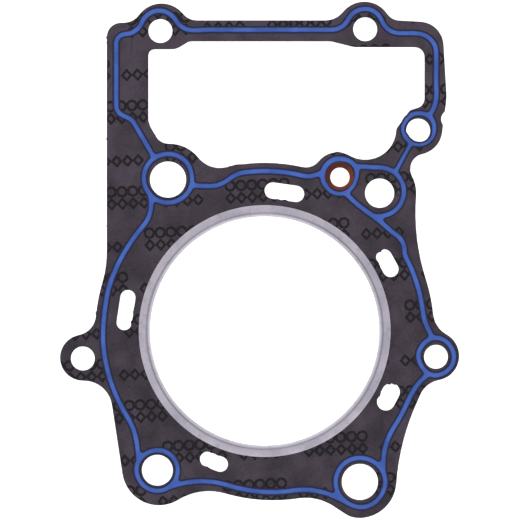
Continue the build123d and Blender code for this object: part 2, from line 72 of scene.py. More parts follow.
def linear(hex_colour):
    """Turn an sRGB hex colour into linear red, green, blue and alpha."""
    channels = [int(hex_colour[i:i + 2], 16) / 255 for i in (0, 2, 4)]
    lit = [c / 12.92 if c <= 0.04045 else ((c + 0.055) / 1.055) ** 2.4 for c in channels]
    return (*lit, 1.0)


def smallest_radius(node, centre):
    """Radius of the hole through a CAD node, about a centre."""
    spots = [vertex.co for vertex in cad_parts[node].data.vertices]
    return min(hypot(spot.x - centre.x, spot.y - centre.y) for spot in spots)


class SheetSettings(bpy.types.PropertyGroup):
    """The composite sheet: its cut edges, its colours and the pattern printed on it."""

    edge_step: bpy.props.FloatProperty(
        name="Edge step", description="Distance between points along a cut edge",
        default=0.3 * MM, unit="LENGTH", precision=5)
    edge_round: bpy.props.FloatProperty(
        name="Edge round", description="Radius that the punch leaves on the sheet's edges",
        default=0.05 * MM, unit="LENGTH", precision=5)
    fray_depth: bpy.props.FloatProperty(
        name="Fray depth", description="How far the fibres stand out of a clean cut",
        default=0.06 * MM, unit="LENGTH", precision=5)
    fray_length: bpy.props.FloatProperty(
        name="Fray length", description="Length of one torn bit along the edge",
        default=1.3 * MM, unit="LENGTH", precision=5)
    bore_slack: bpy.props.FloatProperty(
        name="Bore slack",
        description="How far the sheet's edge stands back inside the fold of the steel ring",
        default=0.4 * MM, unit="LENGTH", precision=5)
    flake_size: bpy.props.FloatProperty(
        name="Flake size", description="Size of the graphite flakes in the sheet's face",
        default=0.7 * MM, unit="LENGTH", precision=5)
    dark: bpy.props.FloatVectorProperty(
        name="Dark flakes", description="Colour of the sheet between its flakes",
        subtype="COLOR", size=4, min=0, max=1, default=linear("312A33"))
    light: bpy.props.FloatVectorProperty(
        name="Light flakes", description="Colour of the flakes that catch the light",
        subtype="COLOR", size=4, min=0, max=1, default=linear("49404B"))
    # Painted light: the sheet paler towards the tunnel's end
    drift: bpy.props.FloatProperty(
        name="Drift", description="How much paler the sheet gets towards the tunnel's end",
        default=0.35, subtype="FACTOR")
    ink: bpy.props.FloatVectorProperty(
        name="Ink", description="Colour of the printed pattern",
        subtype="COLOR", size=4, min=0, max=1, default=linear("0C090F"))
    mark_width: bpy.props.FloatProperty(
        name="Mark width", description="Distance between printed marks along a row",
        default=3.9 * MM, unit="LENGTH", precision=5)
    mark_height: bpy.props.FloatProperty(
        name="Mark height", description="Distance between the rows of printed marks",
        default=4.4 * MM, unit="LENGTH", precision=5)
    line_width: bpy.props.FloatProperty(
        name="Line width", description="Width of the printed lines",
        default=0.95 * MM, unit="LENGTH", precision=5)
    group_pitch: bpy.props.FloatProperty(
        name="Group pitch", description="Distance between groups of printed marks along a band",
        default=50.7 * MM, unit="LENGTH", precision=5)
    band_pitch: bpy.props.FloatProperty(
        name="Band pitch", description="Distance between bands of printed marks",
        default=15.4 * MM, unit="LENGTH", precision=5)
    print_angle: bpy.props.FloatProperty(
        name="Print angle", description="Angle at which the bands of print cross the sheet",
        default=radians(3), subtype="ANGLE")


class RingSettings(bpy.types.PropertyGroup):
    """The folded steel ring at the cylinder."""

    stock: bpy.props.FloatProperty(
        name="Stock", description="Thickness of the ring's steel",
        default=0.2 * MM, unit="LENGTH", precision=5)
    lip_width: bpy.props.FloatProperty(
        name="Lip width", description="Width of the rolled lip, from the bore to the crease",
        default=1.0 * MM, unit="LENGTH", precision=5)
    crease_width: bpy.props.FloatProperty(
        name="Crease width", description="Width of the crease between lip and flange",
        default=0.6 * MM, unit="LENGTH", precision=5)
    crease_depth: bpy.props.FloatProperty(
        name="Crease depth", description="Depth of the crease under the flange",
        default=0.14 * MM, unit="LENGTH", precision=5)
    wall_height: bpy.props.FloatProperty(
        name="Wall height", description="Straight wall between the two rolled lips",
        default=0.6 * MM, unit="LENGTH", precision=5)
    steel: bpy.props.FloatVectorProperty(
        name="Steel", description="Colour of the rolled steel",
        subtype="COLOR", size=4, min=0, max=1, default=linear("97929F"))
    worn_steel: bpy.props.FloatVectorProperty(
        name="Worn steel", description="Colour of the steel where the tin coat is rubbed bright",
        subtype="COLOR", size=4, min=0, max=1, default=linear("AEAAB3"))
    # Painted highlight: the lip's colour, brighter than the flange
    lip_highlight: bpy.props.FloatVectorProperty(
        name="Rolled lip",
        description="Colour of the lip, where rolling stretched the tin coat bright",
        subtype="COLOR", size=4, min=0, max=1, default=linear("B0ADB5"))
    # Painted shade in the crease; the handling smudges take this colour too
    crease_shade_and_smudge: bpy.props.FloatVectorProperty(
        name="Crease", description="Colour of the crease, where dust gathers",
        subtype="COLOR", size=4, min=0, max=1, default=linear("6E6A74"))


class BeadSettings(bpy.types.PropertyGroup):
    """The sealing beads that are printed on the sheet's faces."""

    edge_step: bpy.props.FloatProperty(
        name="Edge step", description="Distance between points along the bead's edge",
        default=0.35 * MM, unit="LENGTH", precision=5)
    shoulder: bpy.props.FloatProperty(
        name="Shoulder", description="Width of the bead's rounded shoulder",
        default=0.95 * MM, unit="LENGTH", precision=5)
    spread: bpy.props.FloatProperty(
        name="Spread", description="How far the ink has run out at the bead's edges",
        default=0.32 * MM, unit="LENGTH", precision=5)
    margin: bpy.props.FloatProperty(
        name="Margin", description="Bare strip left between the ink and the sheet's cut edges",
        default=0.1 * MM, unit="LENGTH", precision=5)
    waver: bpy.props.FloatProperty(
        name="Waver", description="How far the bead's edge wavers from a true line",
        default=0.05 * MM, unit="LENGTH", precision=5)
    blue: bpy.props.FloatVectorProperty(
        name="Crest", description="Colour of the bead's crest where the ink lies thin",
        subtype="COLOR", size=4, min=0, max=1, default=linear("486AC1"))
    deep_blue: bpy.props.FloatVectorProperty(
        name="Deep crest", description="Colour of the bead's crest where the ink lies thick",
        subtype="COLOR", size=4, min=0, max=1, default=linear("3956A5"))
    # Painted shade on the bead's steep shoulders
    navy_edge_shade: bpy.props.FloatVectorProperty(
        name="Edge", description="Colour of the bead's thin edge, where the sheet shows through",
        subtype="COLOR", size=4, min=0, max=1, default=linear("12132F"))


class SealSettings(bpy.types.PropertyGroup):
    """The moulded seal ring in the oil hole."""

    edge_round: bpy.props.FloatProperty(
        name="Edge round", description="Radius of the seal's edges",
        default=0.45 * MM, unit="LENGTH", precision=5)
    rim_shift: bpy.props.FloatVectorProperty(
        name="Rim shift",
        description="How far the seal's rim and seat lie off the middle of its hole",
        size=2, subtype="TRANSLATION", unit="LENGTH", default=(-0.05 * MM, 0.4 * MM))
    rust: bpy.props.FloatVectorProperty(
        name="Rust red", description="Colour of the elastomer",
        subtype="COLOR", size=4, min=0, max=1, default=linear("6C2C0C"))
    # Painted shade on the seal's upper left side
    shade: bpy.props.FloatVectorProperty(
        name="Dark red", description="Colour of the elastomer where it lies thin on the sheet",
        subtype="COLOR", size=4, min=0, max=1, default=linear("4A0F0C"))


class StageSettings(bpy.types.PropertyGroup):
    """Camera, lamps and floor."""

    view_width: bpy.props.FloatProperty(
        name="View width", description="Width of the view at the gasket's face",
        default=187.2 * MM, unit="LENGTH")
    view_centre: bpy.props.FloatVectorProperty(
        name="View centre", description="Point that the camera stands over",
        size=2, subtype="TRANSLATION", unit="LENGTH", default=(-1.68 * MM, 25.58 * MM))
    focal_length: bpy.props.FloatProperty(
        name="Focal length", description="The camera's focal length in millimetres",
        default=200.0)
    end_power: bpy.props.FloatProperty(
        name="End lamps",
        description="Power of each of the two soft lamps beyond the gasket's ends",
        default=2.4, unit="POWER")
    side_power: bpy.props.FloatProperty(
        name="Side lamps", description="Power of each of the two low lamps at the sides",
        default=1.7, unit="POWER")
    floor_gap: bpy.props.FloatProperty(
        name="Floor gap", description="How far under the steel ring the floor is",
        default=0.02 * MM, unit="LENGTH", precision=5)
    world_strength: bpy.props.FloatProperty(
        name="World", description="Strength of the even light from all round",
        default=0.45)


# Torn bits at the cut edges, in mm: where, how far along the edge, and how far out of the cut
TORN_PLACES = {
    "frame's left edge, near its corner": ((-57.4, 105.7), 0.7, 1.1),
    "under that corner": ((-57.4, 103.9), 0.6, 0.7),
    "frame's left edge, further down": ((-57.1, 69.2), 0.7, 0.9),
    "left waist": ((-57.5, 37.8), 0.7, 0.8),
    "left edge, beside the left slot": ((-60.6, 6.4), 0.7, 0.9),
    "tunnel's edge on the land": ((-10.7, 60.5), 3.0, 0.4),
    "boss over the oil seal": ((26.4, 64.5), 1.4, 0.35),
    "left slot's lower end": ((-48.0, 3.0), 1.1, 0.75),
    "left slot's inner edge": ((-47.4, 7.3), 1.5, 0.25),
    "top slot's lower edge": ((4.8, 47.5), 1.0, 0.35),
    "top slot's lower edge, further on": ((7.4, 47.2), 1.2, 0.4),
    "upper right slot's near corner": ((41.6, 28.6), 1.5, 0.9),
    "upper right slot's inner edge": ((41.1, 24.7), 1.6, 0.35),
    "lower right slot's top": ((45.3, -18.7), 2.1, 0.75),
    "lower right slot's inner edge": ((41.4, -23.2), 1.3, 0.6),
    "bottom slot's upper edge": ((-19.7, -44.2), 1.0, 0.5),
    "bottom slot's upper edge, further on": ((-17.2, -44.9), 1.8, 0.2),
    "bottom slot's lower edge": ((-20.9, -49.0), 1.5, 0.3),
}

# Where the printed bead runs off its true line, in mm: where, how far round it, and how far off
PRINT_DRIFTS = {
    "top left bolt, right flank": ((-31, 112), 12, (-0.5, -0.5)),
    "top left bolt, crown": ((-40, 116), 9, (0, -0.2)),
    "top right bolt, right flank": ((44.5, 110), 9, (-0.2, -0.6)),
    "frame's upper right corner": ((61, 101), 13, (0.5, 0.1)),
    "frame's right side, above the right bolt": ((61, 78), 7, (0.25, 0.2)),
    "right bolt's ring": ((54.5, 71), 13, (0.25, 0.22)),
    "oil seal's ring, right side": ((33.5, 58.5), 7, (0.3, 0.4)),
    "oil seal to the upper right stud": ((32.5, 46.5), 13, (-0.6, -0.6)),
    "land beside the upper left dowel": ((-20.5, 53), 12, (-0.1, -0.6)),
    "left side, upper run": ((-47, 34), 25, (0.35, -0.3)),
    "right lug, upper side": ((59.5, -1.5), 9, (0.35, 0.55)),
    "right lug, lower side": ((56.5, -16.5), 9, (0.7, -0.5)),
    "right side, lower run": ((45.5, -37), 14, (0.55, -0.2)),
    "lower right dowel, right side": ((42.5, -51), 13, (0.45, -0.15)),
    "lower right dowel, bottom": ((37, -62.5), 9, (0.1, -0.35)),
    "lower left stud, left side": ((-45.5, -44), 10, (-0.35, -0.3)),
    "bottom run": ((0, -57), 24, (0, -0.33)),
    "left side, above the left lug": ((-58, 6), 12, (0.25, -0.1)),
}


def outlines(name, height):
    """Closed outlines of a CAD node's flat face at a height, with the face on their left."""
    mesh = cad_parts[name].data
    edges = {}
    for polygon in mesh.polygons:
        corners = [mesh.vertices[i].co for i in polygon.vertices]
        if all(abs(corner.z - height) < FLAT for corner in corners):
            keys = [(round(corner.x, 7), round(corner.y, 7)) for corner in corners]
            edges.update(dict.fromkeys(zip(keys, keys[1:] + keys[:1])))
    following = {start: end for start, end in edges if (end, start) not in edges}
    loops = []
    while following:
        start, point = following.popitem()
        loop = [Vector(start)]
        while point != start:
            loop.append(Vector(point))
            point = following.pop(point)
        loops.append(loop)
    return loops


def even_points(loop, step):
    """Points at even steps along a closed outline."""
    ends = loop[1:] + loop[:1]
    spans = [(end - start).length for start, end in zip(loop, ends)]
    count = max(FEWEST_POINTS, round(sum(spans) / step))
    pace = sum(spans) / count
    points, travelled, target = [], 0.0, 0.0
    for start, end, span in zip(loop, ends, spans):
        while len(points) < count and target < travelled + span:
            points.append(start.lerp(end, (target - travelled) / span))
            target += pace
        travelled += span
    return points


def smoothed(points):
    """The same closed outline with its facets' corners rounded."""
    for _ in range(SMOOTHING):
        before, after = points[-1:] + points[:-1], points[1:] + points[:1]
        points = [(a + 2 * b + c) / 4 for a, b, c in zip(before, points, after)]
    return points


def pushed(points, distance):
    """The same closed outline, each point moved out of the face by what distance gives for it."""
    moved = []
    for before, point, after in zip(points[-1:] + points[:-1], points, points[1:] + points[:1]):
        along = (after - before).normalized()
        moved.append(point + Vector((along.y, -along.x)) * distance(point))
    return moved


def seated(points, shift):
    """The same closed outline, moved with the seal's rim where it is the one round the seal."""
    near = all((point - seal_middle).length < seat_reach for point in points)
    return [point + Vector(shift) for point in points] if near else points


def filled_sheet(name, loops, half_height, edge):
    """Mesh of a flat sheet with those outlines, its rims rounded by a bevel of the given size."""
    curve = bpy.data.curves.new(name, "CURVE")
    curve.dimensions = "2D"
    curve.fill_mode = "BOTH"
    curve.extrude = half_height - edge
    curve.bevel_depth = edge
    curve.bevel_resolution = EDGE_ARCS
    curve.offset = -edge
    for loop in loops:
        spline = curve.splines.new("POLY")
        spline.points.add(len(loop) - 1)
        for spot, point in zip(spline.points, loop):
            spot.co = (point.x, point.y, 0, 1)
        spline.use_cyclic_u = True
    former = bpy.data.objects.new(name, curve)
    bpy.context.scene.collection.objects.link(former)
    bpy.context.view_layer.update()
    graph = bpy.context.evaluated_depsgraph_get()
    mesh = bpy.data.meshes.new_from_object(former.evaluated_get(graph))
    bpy.data.objects.remove(former)
    bpy.data.curves.remove(curve)
    mesh.name = name
    return mesh


def lathe(name, centre, section, steps):
    """Mesh of a closed section, given as radius and height, turned about an upright axis."""
    mesh = bpy.data.meshes.new(name)
    rows = []
    for turn in range(steps):
        angle = tau * turn / steps
        rows += [(centre.x + r * cos(angle), centre.y + r * sin(angle), z) for r, z in section]
    size = len(section)
    faces = []
    for turn in range(steps):
        here, there = turn * size, (turn + 1) % steps * size
        for k in range(size):
            after = (k + 1) % size
            faces.append((here + k, there + k, there + after, here + after))
    mesh.from_pydata(rows, [], faces)
    return mesh


def arc(centre, radii, start, end, steps):
    """Points of a round or oval corner of a section, between two angles in degrees."""
    angles = [radians(start + (end - start) * k / steps) for k in range(steps + 1)]
    return [(centre[0] + radii[0] * cos(a), centre[1] + radii[1] * sin(a)) for a in angles]


def placed(name, mesh, material, smooth_angle):
    """Put a finished mesh in the scene as a piece that rides on the gasket."""
    work = bmesh.new()
    work.from_mesh(mesh)
    bmesh.ops.remove_doubles(work, verts=work.verts, dist=MERGE)
    bmesh.ops.recalc_face_normals(work, faces=work.faces)
    work.to_mesh(mesh)
    work.free()
    mesh.shade_smooth()
    mesh.set_sharp_from_angle(angle=radians(smooth_angle))
    mesh.materials.append(material)
    piece = bpy.data.objects.new(name, mesh)
    bpy.context.scene.collection.objects.link(piece)
    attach(piece, "root")
    return piece


def add(tree, kind, inputs=None, **settings):
    """Add a node with its settings, and link or set its inputs."""
    made = tree.nodes.new(kind)
    for name, value in settings.items():
        setattr(made, name, value)
    for name, value in (inputs or {}).items():
        if isinstance(value, bpy.types.NodeSocket):
            tree.links.new(value, made.inputs[name])
        else:
            made.inputs[name].default_value = value
    return made


def new_material(name):
    """Empty material, its node tree, and places on the piece in millimetres."""
    material = bpy.data.materials.new(name)
    material.use_nodes = True
    tree = material.node_tree
    tree.nodes.clear()
    place = add(tree, "ShaderNodeTexCoord").outputs["Object"]
    places = add(tree, "ShaderNodeVectorMath", {0: place, "Scale": 1 / MM}, operation="SCALE")
    return material, tree, places.outputs["Vector"]


def finish_material(tree, inputs):
    """Give a material its surface."""
    shader = add(tree, "ShaderNodeBsdfPrincipled", inputs)
    add(tree, "ShaderNodeOutputMaterial", {"Surface": shader.outputs["BSDF"]})


def graphite_composite(settings):
    """Pressed graphite and fibre sheet: a dry dark grey face with flakes, and a dark print."""
    cloud, fold = 9, 26                     # mm: slow patches in the tone, handling creases
    even_below, palest_above = 40.0, 95.0   # mm towards the tunnel's end
    material, tree, places = new_material("pressed_graphite_composite")
    flakes = add(tree, "ShaderNodeTexNoise", {
        "Vector": places, "Scale": MM / settings.flake_size, "Detail": 5.0, "Roughness": 0.65})
    clouds = add(tree, "ShaderNodeTexNoise", {
        "Vector": places, "Scale": 1 / cloud, "Detail": 3.0})
    tone = add(tree, "ShaderNodeMath", {
        0: flakes.outputs["Fac"], 1: 0.4, 2: clouds.outputs["Fac"]}, operation="MULTIPLY_ADD")
    spread = add(tree, "ShaderNodeMapRange", {
        "Value": tone.outputs[0], "From Min": 0.52, "From Max": 0.89})
    spot = add(tree, "ShaderNodeSeparateXYZ", {0: places})
    # Painted light, paler towards the tunnel's end
    drift = add(tree, "ShaderNodeMapRange", {
        "Value": spot.outputs["Y"], "From Min": even_below, "From Max": palest_above,
        "To Min": -0.03, "To Max": settings.drift})
    shade = add(tree, "ShaderNodeMath", {
        0: spread.outputs[0], 1: drift.outputs[0]}, operation="ADD", use_clamp=True)
    clean = add(tree, "ShaderNodeMix", {
        "Factor": shade.outputs[0], 6: settings.dark, 7: settings.light}, data_type="RGBA")

    # Hairline creases from handling: a few stretches of one contour of a slow noise
    contour, half_line = 0.53, 0.0035
    waves = add(tree, "ShaderNodeTexNoise", {
        "Vector": places, "Scale": 1 / fold, "Detail": 1.0})
    line = add(tree, "ShaderNodeMath", {
        0: waves.outputs["Fac"], 1: contour, 2: half_line}, operation="COMPARE")
    stretch = add(tree, "ShaderNodeMapRange", {
        "Value": clouds.outputs["Fac"], "From Min": 0.5, "From Max": 0.6, "To Max": 0.4})
    hairline = add(tree, "ShaderNodeMath", {
        0: line.outputs[0], 1: stretch.outputs[0]}, operation="MULTIPLY")
    face = add(tree, "ShaderNodeMix", {
        "Factor": hairline.outputs[0], 6: clean.outputs[2], 7: settings.ink}, data_type="RGBA")

    # The print: staggered bands, each with a wide group of two rows and a short one of one row
    width, height = settings.mark_width / MM, settings.mark_height / MM
    pitch, thickness = settings.group_pitch / MM, settings.line_width / MM
    wide_marks, short_middle, short_half = 6, 9, 2      # along a band, counted in marks
    stagger = 0.41                                      # of the pitch, from band to band
    turned = add(tree, "ShaderNodeVectorRotate", {
        "Vector": places, "Angle": -settings.print_angle}, rotation_type="Z_AXIS")
    place = add(tree, "ShaderNodeSeparateXYZ", {0: turned.outputs[0]})
    bands = add(tree, "ShaderNodeMath", {
        0: place.outputs["Y"], 1: settings.band_pitch / MM}, operation="DIVIDE")
    band = add(tree, "ShaderNodeMath", {0: bands.outputs[0]}, operation="FLOOR")
    staggered = add(tree, "ShaderNodeMath", {
        0: band.outputs[0], 1: stagger * pitch, 2: place.outputs["X"]}, operation="MULTIPLY_ADD")
    along = add(tree, "ShaderNodeMath", {
        0: staggered.outputs[0], 1: pitch}, operation="FLOORED_MODULO")
    up = add(tree, "ShaderNodeMath", {
        0: place.outputs["Y"], 1: settings.band_pitch / MM}, operation="FLOORED_MODULO")
    wide = add(tree, "ShaderNodeMath", {
        0: along.outputs[0], 1: wide_marks * width}, operation="LESS_THAN")
    tall = add(tree, "ShaderNodeMath", {0: up.outputs[0], 1: 2 * height}, operation="LESS_THAN")
    large = add(tree, "ShaderNodeMath", {
        0: wide.outputs[0], 1: tall.outputs[0]}, operation="MULTIPLY")
    short = add(tree, "ShaderNodeMath", {
        0: along.outputs[0], 1: short_middle * width, 2: short_half * width}, operation="COMPARE")
    low = add(tree, "ShaderNodeMath", {0: up.outputs[0], 1: height}, operation="LESS_THAN")
    small = add(tree, "ShaderNodeMath", {
        0: short.outputs[0], 1: low.outputs[0]}, operation="MULTIPLY")
    group = add(tree, "ShaderNodeMath", {
        0: large.outputs[0], 1: small.outputs[0]}, operation="MAXIMUM")

    # One mark: a lozenge in the lower row and a ring in the upper row
    lozenge_reach, ring_radius = 0.4 * height, 0.37 * height
    lozenge_half, ring_half = 0.7 * thickness, 0.5 * thickness
    side = add(tree, "ShaderNodeMath", {0: along.outputs[0], 1: width / 2}, operation="PINGPONG")
    rise = add(tree, "ShaderNodeMath", {0: up.outputs[0], 1: height / 2}, operation="PINGPONG")
    across = add(tree, "ShaderNodeMath", {
        0: width / 2, 1: side.outputs[0]}, operation="SUBTRACT")
    above = add(tree, "ShaderNodeMath", {
        0: height / 2, 1: rise.outputs[0]}, operation="SUBTRACT")
    lozenge = add(tree, "ShaderNodeMath", {
        0: across.outputs[0], 1: height / width, 2: above.outputs[0]}, operation="MULTIPLY_ADD")
    from_middle = add(tree, "ShaderNodeCombineXYZ", {0: across.outputs[0], 1: above.outputs[0]})
    ring = add(tree, "ShaderNodeVectorMath", {0: from_middle.outputs[0]}, operation="LENGTH")
    lozenge_line = add(tree, "ShaderNodeMath", {
        0: lozenge.outputs[0], 1: lozenge_reach, 2: lozenge_half}, operation="COMPARE")
    ring_line = add(tree, "ShaderNodeMath", {
        0: ring.outputs["Value"], 1: ring_radius, 2: ring_half}, operation="COMPARE")
    mark = add(tree, "ShaderNodeMix", {
        "Factor": low.outputs[0], 2: ring_line.outputs[0], 3: lozenge_line.outputs[0]})
    rub = add(tree, "ShaderNodeMapRange", {
        "Value": flakes.outputs["Fac"], "From Min": 0.68, "From Max": 0.48,
        "To Min": 0.7, "To Max": 1.0})
    inked = add(tree, "ShaderNodeMath", {
        0: mark.outputs[0], 1: group.outputs[0]}, operation="MULTIPLY")
    cover = add(tree, "ShaderNodeMath", {
        0: inked.outputs[0], 1: rub.outputs[0]}, operation="MULTIPLY")
    printed = add(tree, "ShaderNodeMix", {
        "Factor": cover.outputs[0], 6: face.outputs[2], 7: settings.ink}, data_type="RGBA")

    relief = add(tree, "ShaderNodeBump", {
        "Height": flakes.outputs["Fac"], "Strength": 0.3, "Distance": 0.04 * MM})
    sheen = add(tree, "ShaderNodeMapRange", {
        "Value": flakes.outputs["Fac"], "From Min": 0.35, "From Max": 0.65,
        "To Min": 0.8, "To Max": 0.6})
    finish_material(tree, {
        "Base Color": printed.outputs[2], "Roughness": sheen.outputs[0],
        "Specular IOR Level": 0.2, "Normal": relief.outputs[0]})
    return material


def tinned_steel(settings, centre, lip, crease):
    """Thin rolled steel with a dull tin coat: satin grey, with a painted highlight on the lip and
    painted shade in the crease.
    """
    cloud, patch, grain_size = 9, 2.4, 0.5      # mm: rubbed areas, smudges, the coat's grain
    crease_from, crease_to = 0.05, 0.55         # mm from the crease's middle, where the painted crease shade thins out
    material, tree, places = new_material("tinned_rolled_steel")
    clouds = add(tree, "ShaderNodeTexNoise", {
        "Vector": places, "Scale": 1 / cloud, "Detail": 4.0})
    grain = add(tree, "ShaderNodeTexNoise", {
        "Vector": places, "Scale": 1 / grain_size, "Detail": 3.0})
    tone = add(tree, "ShaderNodeMath", {
        0: grain.outputs["Fac"], 1: 0.35, 2: clouds.outputs["Fac"]}, operation="MULTIPLY_ADD")
    rubbed = add(tree, "ShaderNodeMapRange", {
        "Value": tone.outputs[0], "From Min": 0.5, "From Max": 0.9})
    flange = add(tree, "ShaderNodeMix", {
        "Factor": rubbed.outputs[0], 6: settings.steel, 7: settings.worn_steel}, data_type="RGBA")

    # Distance from the cylinder's axis tells the lip and the crease from the flange: a painted
    # highlight on the lip, and painted shade in the crease
    reach = add(tree, "ShaderNodeVectorMath", {0: places, 1: centre}, operation="SUBTRACT")
    plan = add(tree, "ShaderNodeVectorMath", {
        0: reach.outputs[0], 1: (1, 1, 0)}, operation="MULTIPLY")
    radius = add(tree, "ShaderNodeVectorMath", {0: plan.outputs[0]}, operation="LENGTH")
    on_lip = add(tree, "ShaderNodeMapRange", {
        "Value": radius.outputs["Value"], "From Min": crease, "From Max": lip})
    rolled = add(tree, "ShaderNodeMix", {
        "Factor": on_lip.outputs[0], 6: flange.outputs[2], 7: settings.lip_highlight},
        data_type="RGBA")
    # Painted shade, darkest at the crease's middle
    off_crease = add(tree, "ShaderNodeMath", {
        0: radius.outputs["Value"], 1: crease}, operation="SUBTRACT")
    beside = add(tree, "ShaderNodeMath", {0: off_crease.outputs[0]}, operation="ABSOLUTE")
    shade = add(tree, "ShaderNodeMapRange", {
        "Value": beside.outputs[0], "From Min": crease_from, "From Max": crease_to,
        "To Min": 0.85, "To Max": 0.0})
    colour = add(tree, "ShaderNodeMix", {
        "Factor": shade.outputs[0], 6: rolled.outputs[2], 7: settings.crease_shade_and_smudge},
        data_type="RGBA")

    # Smudges from handling, and the coat duller where it isn't rubbed
    patches = add(tree, "ShaderNodeTexNoise", {
        "Vector": places, "Scale": 1 / patch, "Detail": 3.0})
    grime = add(tree, "ShaderNodeMapRange", {
        "Value": patches.outputs["Fac"], "From Min": 0.55, "From Max": 0.72, "To Max": 0.3})
    soiled = add(tree, "ShaderNodeMix", {
        "Factor": grime.outputs[0], 6: colour.outputs[2], 7: settings.crease_shade_and_smudge},
        data_type="RGBA")
    dull = add(tree, "ShaderNodeMapRange", {
        "Value": tone.outputs[0], "From Min": 0.5, "From Max": 0.9,
        "To Min": 0.52, "To Max": 0.42})
    relief = add(tree, "ShaderNodeBump", {
        "Height": grain.outputs["Fac"], "Strength": 0.15, "Distance": 0.02 * MM})
    finish_material(tree, {
        "Base Color": soiled.outputs[2], "Metallic": 1.0, "Roughness": dull.outputs[0],
        "Normal": relief.outputs[0]})
    return material


def printed_silicone(settings, foot, crest):
    """Screen-printed silicone: satin blue on its crest, with painted dark blue shade low on its
    shoulders.
    """
    stretch, speck = 7, 0.45            # mm: stretches with more or less ink, and its speckle
    navy_to, blue_from = 0.86, 0.97     # of the bead's height
    unevenness = 0.02                   # mm that the speckle adds to that height
    material, tree, places = new_material("printed_blue_silicone")
    height = add(tree, "ShaderNodeSeparateXYZ", {0: places})
    upward = add(tree, "ShaderNodeMath", {0: height.outputs["Z"]}, operation="ABSOLUTE")
    speckle = add(tree, "ShaderNodeTexNoise", {
        "Vector": places, "Scale": 1 / speck, "Detail": 3.0})
    uneven = add(tree, "ShaderNodeMath", {
        0: speckle.outputs["Fac"], 1: unevenness, 2: upward.outputs[0]}, operation="MULTIPLY_ADD")
    # Painted shade: dark blue low on the shoulders, blue on the crest, by height
    thick = add(tree, "ShaderNodeMapRange", {
        "Value": uneven.outputs[0],
        "From Min": foot + navy_to * (crest - foot) + unevenness / 2,
        "From Max": foot + blue_from * (crest - foot) + unevenness / 2})
    stretches = add(tree, "ShaderNodeTexNoise", {
        "Vector": places, "Scale": 1 / stretch, "Detail": 2.0})
    load = add(tree, "ShaderNodeMapRange", {
        "Value": stretches.outputs["Fac"], "From Min": 0.32, "From Max": 0.68})
    top = add(tree, "ShaderNodeMix", {
        "Factor": load.outputs[0], 6: settings.blue, 7: settings.deep_blue}, data_type="RGBA")
    colour = add(tree, "ShaderNodeMix", {
        "Factor": thick.outputs[0], 6: settings.navy_edge_shade, 7: top.outputs[2]}, data_type="RGBA")
    relief = add(tree, "ShaderNodeBump", {
        "Height": speckle.outputs["Fac"], "Strength": 0.25, "Distance": 0.03 * MM})
    finish_material(tree, {
        "Base Color": colour.outputs[2], "Roughness": 0.58, "Specular IOR Level": 0.25,
        "Normal": relief.outputs[0]})
    return material


def moulded_elastomer(settings, centre):
    """Moulded brown fluoro rubber with a smooth skin, with painted shade in darker red on its upper
    left side.
    """
    cloud = 1.6                         # mm: patches in the skin's colour
    side = (0.09, -0.09, 0)             # how fast the painted shade gives way to the brown towards the lower right, per mm
    material, tree, places = new_material("moulded_brown_elastomer")
    clouds = add(tree, "ShaderNodeTexNoise", {
        "Vector": places, "Scale": 1 / cloud, "Detail": 4.0})
    # Painted shade: darker red towards the upper left, lighter towards the lower right, broken up
    # by the patches
    reach = add(tree, "ShaderNodeVectorMath", {
        0: places, 1: centre / MM}, operation="SUBTRACT")
    lean = add(tree, "ShaderNodeVectorMath", {
        0: reach.outputs[0], 1: side}, operation="DOT_PRODUCT")
    body = add(tree, "ShaderNodeMath", {
        0: lean.outputs["Value"], 1: clouds.outputs["Fac"]}, operation="ADD")
    thick = add(tree, "ShaderNodeMapRange", {
        "Value": body.outputs[0], "From Min": 0.25, "From Max": 0.8})
    colour = add(tree, "ShaderNodeMix", {
        "Factor": thick.outputs[0], 6: settings.shade, 7: settings.rust}, data_type="RGBA")
    relief = add(tree, "ShaderNodeBump", {
        "Height": clouds.outputs["Fac"], "Strength": 0.3, "Distance": 0.05 * MM})
    finish_material(tree, {
        "Base Color": colour.outputs[2], "Roughness": 0.3, "Specular IOR Level": 0.25,
        "Normal": relief.outputs[0], "Coat Weight": 0.05, "Coat Roughness": 0.15})
    return material


class GASKET_OT_sheet(bpy.types.Operator):
    """Make the punched composite sheet, with frayed edges"""

    bl_idname = "gasket.sheet"
    bl_label = "Composite sheet"

    def execute(self, context):
        settings = context.scene.gasket_sheet

        # Fibres stand out in rough patches some nine bits long, and tear off at a few places
        def fray(point):
            wave = Vector((point.x, point.y, 0)) / settings.fray_length
            rough = max(0.0, 0.3 + 1.7 * noise.noise(wave / 9))
            fibres = noise.noise(wave) + 0.3 * noise.noise(wave * 2.3)
            depth = settings.fray_depth * rough * fibres
            for (x, y), length, depth_here in TORN_PLACES.values():
                near = 1 - hypot(point.x - x * MM, point.y - y * MM) / (length * MM)
                if near > 0:
                    tear = 0.65 + noise.noise(wave * 2)
                    depth += depth_here * MM * tear * near ** 0.6
            return depth

        def cut_back(point):
            return -settings.bore_slack

        loops = []
        for loop in outlines("gasket_sheet", sheet_high.z):
            edge = smoothed(even_points(loop, settings.edge_step))
            edge = seated(edge, context.scene.gasket_seal.rim_shift)
            in_ring = all(point.length < ring_high.x for point in edge)
            loops.append(pushed(edge, cut_back if in_ring else fray))
        half_height = (sheet_high.z - sheet_low.z) / 2
        mesh = filled_sheet("composite_sheet", loops, half_height, settings.edge_round)
        material = graphite_composite(settings)
        piece = placed("composite_sheet", mesh, material, smooth_angle=40)
        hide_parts("gasket_sheet")
        return {"FINISHED"}


